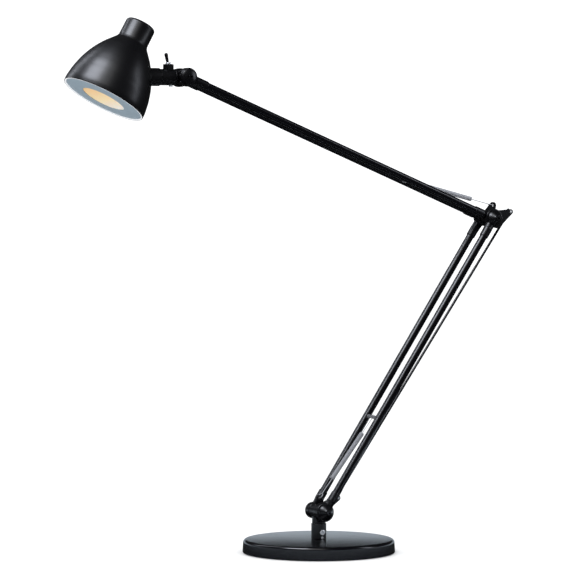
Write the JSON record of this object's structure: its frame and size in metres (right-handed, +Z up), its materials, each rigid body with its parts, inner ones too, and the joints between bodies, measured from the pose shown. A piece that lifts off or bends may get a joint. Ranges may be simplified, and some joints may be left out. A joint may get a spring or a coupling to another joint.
{
  "type": "architect desk lamp",
  "caption": "Spring-balanced twin-tube desk lamp on a round weighted base, with a bowl-shaped shade, toggle switch and LED light.",
  "frame": {"origin": "middle of the base's underside, on the desk", "axes": "+Z up; the arms swing in the XZ plane with the head towards -X; the hinge screws' heads face -Y"},
  "size_m": [0.7517, 0.2327, 0.7979],
  "materials": {
    "gloss_black": "gloss black enamel",
    "satin_black": "semi-gloss black powder coat",
    "black_plastic": "satin moulded black",
    "cast_iron": "rough as cast",
    "rubber": "matte",
    "chrome": "polished",
    "steel": "zinc plated",
    "spring_steel": "bright drawn wire",
    "nylon": "natural nylon",
    "clear_plastic": "clear soft plastic",
    "aluminium": "plain extruded",
    "trim_grey": "light blue-grey satin paint",
    "white_lip": "white moulded",
    "diffuser": "translucent opal, warm white",
    "white_board": "white solder mask and white reflector"
  },
  "bodies": {
    "base": {"base_cover": "gloss_black", "base_weight": "cast_iron", "base_pad": "rubber", "cord_gland": "black_plastic", "post_socket": "satin_black", "post_bolt": "steel", "post_bush": "nylon", "clamp_screw": "chrome", "grub_screw": "chrome"},
    "foot": {"foot_bracket": "satin_black", "foot_washer_near": "black_plastic", "foot_washer_far": "black_plastic", "rod_pin_lower": "steel"},
    "lower_arm": {"lower_tube_near": "satin_black", "lower_tube_far": "satin_black", "lower_foot_fitting_near": "satin_black", "lower_foot_fitting_far": "satin_black", "lower_elbow_fitting_near": "satin_black", "lower_elbow_fitting_far": "satin_black", "lower_crossbar": "steel", "foot_hinge_cap": "satin_black", "foot_hinge_bolt": "steel", "elbow_hinge_cap": "satin_black", "elbow_hinge_bolt": "steel"},
    "elbow_plate": {"elbow_plate": "satin_black", "rod_pin_upper": "steel"},
    "level_rod": {"level_rod": "satin_black"},
    "lower_spring_coil": {"lower_spring_coil": "spring_steel"},
    "lower_spring_hook": {"lower_spring_hook": "spring_steel"},
    "upper_spring_hook": {"upper_spring_hook": "spring_steel"},
    "upper_arm": {"upper_tube_near": "satin_black", "upper_tube_far": "satin_black", "upper_elbow_fitting_near": "satin_black", "upper_elbow_fitting_far": "satin_black", "upper_head_fitting_near": "satin_black", "upper_head_fitting_far": "satin_black", "upper_crossbar": "steel", "upper_spring_coil": "spring_steel", "head_hinge_cap": "satin_black", "head_hinge_bolt": "steel"},
    "head": {"head_knuckle": "gloss_black", "neck_tube": "gloss_black", "lead_grommet": "clear_plastic", "switch_body": "black_plastic", "switch_bushing": "chrome", "switch_nut": "black_plastic"},
    "switch_lever": {"switch_lever": "black_plastic"},
    "shade": {"shade_shell": "gloss_black", "shade_collar": "gloss_black", "shade_nipple": "steel", "shade_nut": "steel", "trim_plate": "trim_grey", "trim_gasket": "white_lip", "diffuser": "diffuser", "light_cup": "white_board", "led_board": "white_board", "mount_ring": "steel", "heat_sink": "aluminium", "led_driver": "black_plastic"}
  },
  "joints": [
    {"name": "base_swivel", "type": "hinge", "parent": "base", "child": "foot", "pos_m": [0, 0, 0.0435], "axis": [0, 0, 1], "range_deg": [-175, 175]},
    {"name": "lower_arm_tilt", "type": "hinge", "parent": "foot", "child": "lower_arm", "pos_m": [0, 0, 0.0617], "axis": [0, 1, 0], "range_deg": [-46, 16]},
    {"name": "elbow_plate_level", "type": "hinge", "parent": "lower_arm", "child": "elbow_plate", "pos_m": [0.29494, 0, 0.50145], "axis": [0, 1, 0], "range_deg": [-11.5, 32.8]},
    {"name": "level_rod_swing", "type": "hinge", "parent": "foot", "child": "level_rod", "pos_m": [0.032, 0, 0.0802], "axis": [0, 1, 0], "range_deg": [-47, 16.4]},
    {"name": "upper_arm_tilt", "type": "hinge", "parent": "elbow_plate", "child": "upper_arm", "pos_m": [0.29494, 0, 0.50145], "axis": [0, 1, 0], "range_deg": [-10, 36]},
    {"name": "lower_spring_swing", "type": "hinge", "parent": "lower_arm", "child": "lower_spring_coil", "pos_m": [0.0933, 0, 0.20081], "axis": [0, 1, 0], "range_deg": [-5.7, 2]},
    {"name": "lower_hook_swing", "type": "hinge", "parent": "foot", "child": "lower_spring_hook", "pos_m": [0.0007, 0, 0.0817], "axis": [0, 1, 0], "range_deg": [-51.7, 18]},
    {"name": "upper_hook_swing", "type": "hinge", "parent": "elbow_plate", "child": "upper_spring_hook", "pos_m": [0.30474, 0, 0.52105], "axis": [0, 1, 0], "range_deg": [-10, 36]},
    {"name": "head_tilt", "type": "hinge", "parent": "upper_arm", "child": "head", "pos_m": [-0.2253, 0, 0.71164], "axis": [0, 1, 0], "range_deg": [-65, 60]},
    {"name": "shade_swivel", "type": "hinge", "parent": "head", "child": "shade", "pos_m": [-0.2652, 0, 0.71164], "axis": [1, 0, 0], "range_deg": [-90, 90]},
    {"name": "switch_throw", "type": "hinge", "parent": "head", "child": "switch_lever", "pos_m": [-0.2498, 0, 0.72694], "axis": [0, 1, 0], "range_deg": [0, 23]}
  ],
  "couplings": [
    {"joint": "elbow_plate_level", "follows": "lower_arm_tilt", "ratio": -0.71},
    {"joint": "level_rod_swing", "follows": "lower_arm_tilt", "ratio": 1.02},
    {"joint": "lower_spring_swing", "follows": "lower_arm_tilt", "ratio": 0.12},
    {"joint": "lower_hook_swing", "follows": "lower_arm_tilt", "ratio": 1.12},
    {"joint": "upper_hook_swing", "follows": "upper_arm_tilt", "ratio": 1}
  ]
}
